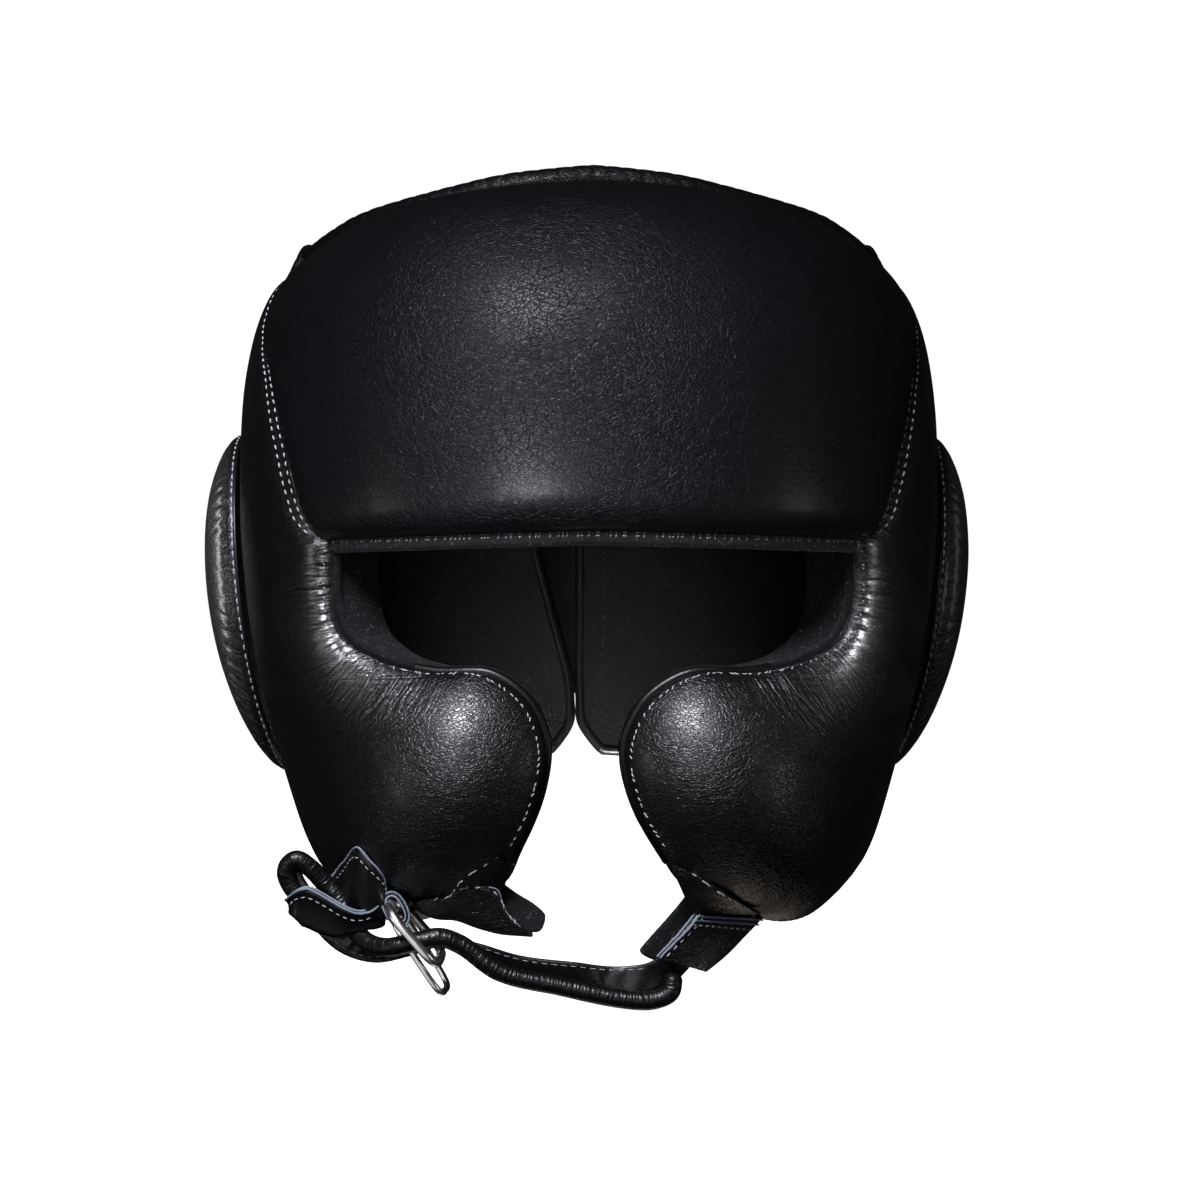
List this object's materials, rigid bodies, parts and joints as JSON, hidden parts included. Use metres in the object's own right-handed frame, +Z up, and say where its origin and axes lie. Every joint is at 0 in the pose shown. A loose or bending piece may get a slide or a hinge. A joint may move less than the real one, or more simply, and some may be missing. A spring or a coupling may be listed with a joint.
{
  "type": "head guard",
  "caption": "Padded leather head guard for boxing with cheek lobes, ear cushions, a closed crown, suede lining and a chin strap fastened through wire rings.",
  "frame": {"origin": "inside of the crown, where the top of the wearer's head bears", "axes": "+Z up out of the crown, -Y the way the face looks, +X to the right of someone who faces the guard"},
  "size_m": [0.246, 0.2357, 0.2514],
  "materials": {
    "leather": "semi-gloss black leather with fine grain",
    "suede": "matt charcoal suede",
    "steel": "polished wire"
  },
  "bodies": {
    "root": {"forehead_pad": "leather", "forehead_lining": "suede", "brow_roll": "suede", "top_binding": "leather", "crown_pad": "leather", "cheek_pad_left": "leather", "cheek_lining_left": "suede", "ear_pad_left": "leather", "back_pad_left": "leather", "back_lining_left": "suede", "cheek_pad_right": "leather", "cheek_lining_right": "suede", "ear_pad_right": "leather", "back_pad_right": "leather", "back_lining_right": "suede", "back_gusset": "leather", "chin_flap_left": "leather", "chin_flap_lining_left": "suede", "chin_flap_right": "leather", "chin_flap_lining_right": "suede", "keeper_loop": "leather", "ring_loop": "leather", "ring_front": "steel", "ring_rear": "steel", "chin_strap": "leather", "strap_tail": "leather"}
  },
  "joints": []
}
